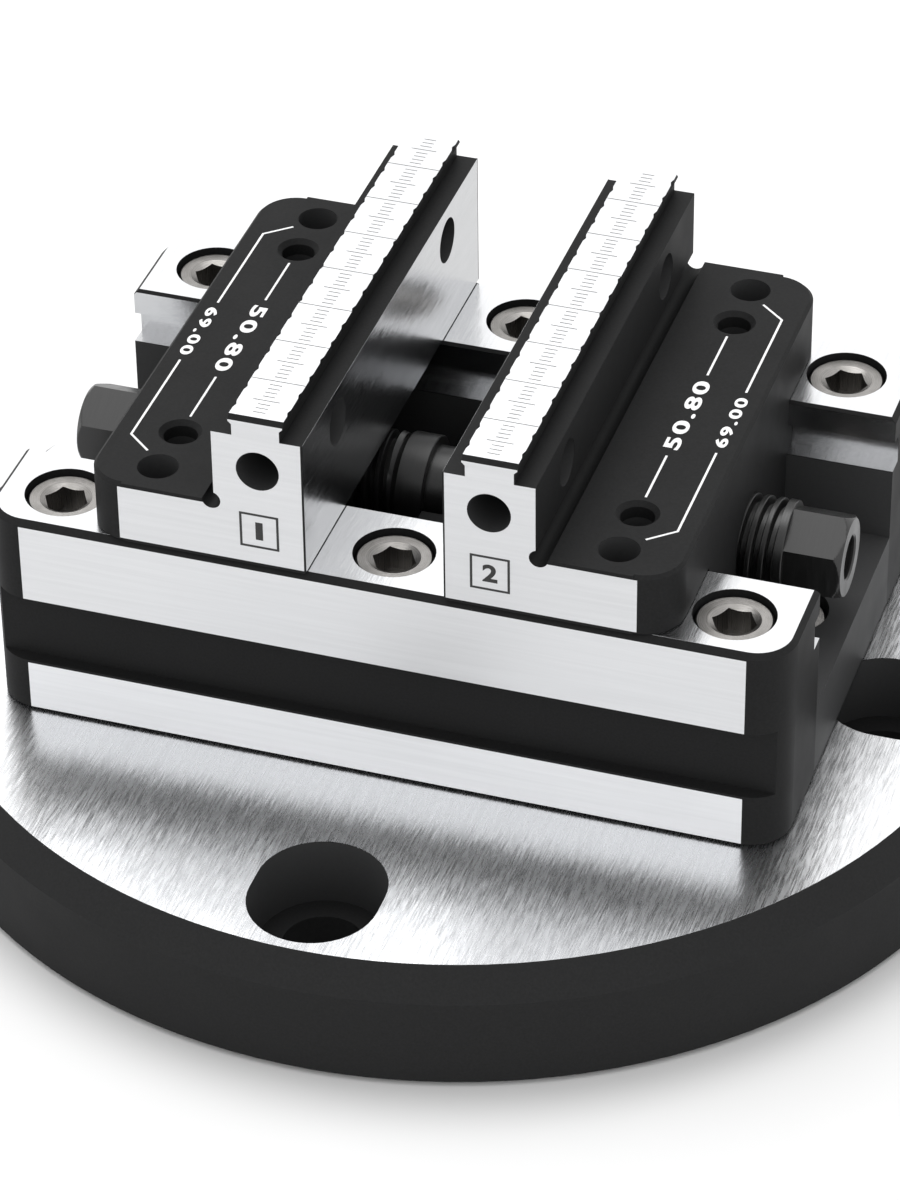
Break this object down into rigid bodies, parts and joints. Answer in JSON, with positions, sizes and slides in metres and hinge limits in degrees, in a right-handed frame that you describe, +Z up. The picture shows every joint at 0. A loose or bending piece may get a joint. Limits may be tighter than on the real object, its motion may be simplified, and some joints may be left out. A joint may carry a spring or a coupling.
{
  "type": "self centering vise",
  "caption": "Low vise on a round slotted plate: a spindle with opposite threads in a channel moves mirrored jaws with notched gripping strips towards the middle.",
  "frame": {"origin": "middle of the base plate's underside", "axes": "+Z up, +X along the spindle towards the end in front at the right, +Y away from the side in front"},
  "size_m": [0.168, 0.168, 0.078],
  "materials": {
    "black_oxide": "black oxide on fine ground steel",
    "ground_steel": "ground bright, fine lines across the jaws",
    "stainless_screw": "turned stainless steel, slightly warm",
    "spindle_steel": "dark turned steel, oiled",
    "plain_steel": "hardened and ground"
  },
  "bodies": {
    "frame": {"base_plate": "black_oxide", "body": "ground_steel", "rail_screws_left": "stainless_screw", "rail_screws_middle": "stainless_screw", "rail_screws_right": "stainless_screw", "channel_screw_left": "stainless_screw", "channel_screw_right": "stainless_screw", "round_pin": "plain_steel", "diamond_pin": "plain_steel", "centre_fork": "black_oxide", "fork_screws_front": "plain_steel", "fork_screws_back": "plain_steel", "fork_pin_left": "plain_steel", "fork_pin_right": "plain_steel"},
    "spindle": {"spindle": "spindle_steel"},
    "jaw_1": {"jaw_1": "black_oxide"},
    "jaw_2": {"jaw_2": "black_oxide"}
  },
  "joints": [
    {"name": "jaw_1_slide", "type": "slide", "parent": "frame", "child": "jaw_1", "axis": [1, 0, 0], "range_m": [-0.014, 0.01]},
    {"name": "jaw_2_slide", "type": "slide", "parent": "frame", "child": "jaw_2", "axis": [-1, 0, 0], "range_m": [-0.014, 0.01]},
    {"name": "spindle_turn", "type": "hinge", "parent": "frame", "child": "spindle", "pos_m": [0, 0, 0.043], "axis": [-1, 0, 0], "range_deg": [-2520.5, 1800.5]}
  ],
  "couplings": [
    {"joint": "jaw_2_slide", "follows": "jaw_1_slide", "ratio": 1},
    {"joint": "spindle_turn", "follows": "jaw_1_slide", "rad_per_m": 3141.6}
  ]
}
